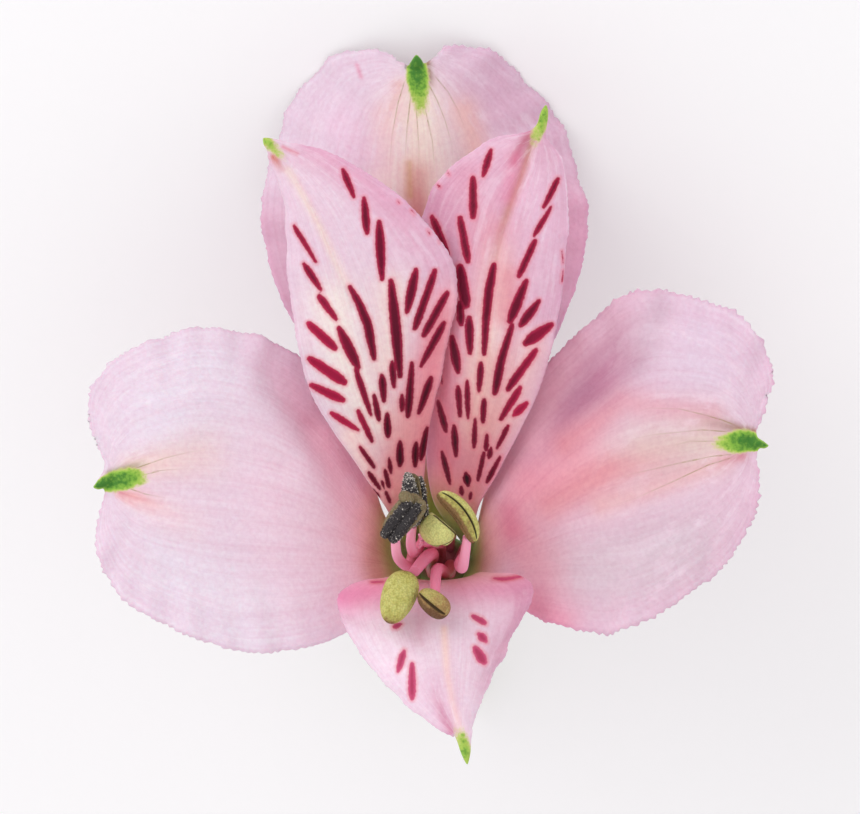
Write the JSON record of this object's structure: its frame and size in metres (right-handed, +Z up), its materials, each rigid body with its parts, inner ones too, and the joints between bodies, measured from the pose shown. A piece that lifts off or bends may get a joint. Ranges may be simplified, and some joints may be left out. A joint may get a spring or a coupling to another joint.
{
  "type": "alstroemeria flower",
  "caption": "Single alstroemeria bloom with six tepals, stamens, style, ribbed ovary and a short cut stalk, lying on its back.",
  "frame": {"origin": "on the surface the flower lies on, under the middle of its bounding box", "axes": "+Z up from that surface; +Y from the stalk's cut end towards the notched tip of the top tepal; +X completes the frame, and is right for someone who looks into the open bloom with that tepal upwards"},
  "size_m": [0.0676, 0.0782, 0.059],
  "materials": {
    "outer_tepal": "pale lilac-pink petal, deeper pink in the throat, green tip with green veins, satin",
    "inner_tepal": "pale pink petal with a cream middle and dark crimson streaks, green tip, satin",
    "filament": "pink, fleshy, satin",
    "style": "pink, fleshy, satin",
    "dark_pollen": "slate-grey grains of pollen on a grey-green rim, matte",
    "green_anther": "yellow-green, finely grained, matte",
    "brown_anther": "brown-green, finely grained, matte",
    "ovary": "green, waxy, satin",
    "stalk": "green, waxy, satin"
  },
  "bodies": {
    "root": {"outer_tepal_top": "outer_tepal", "outer_tepal_left": "outer_tepal", "outer_tepal_right": "outer_tepal", "inner_tepal_left": "inner_tepal", "inner_tepal_right": "inner_tepal", "inner_tepal_lip": "inner_tepal", "filament_1": "filament", "anther_1": "dark_pollen", "filament_2": "filament", "anther_2": "dark_pollen", "filament_3": "filament", "anther_3": "green_anther", "filament_4": "filament", "anther_4": "green_anther", "filament_5": "filament", "anther_5": "green_anther", "filament_6": "filament", "anther_6": "brown_anther", "style": "style", "ovary": "ovary", "stalk": "stalk"}
  },
  "joints": []
}
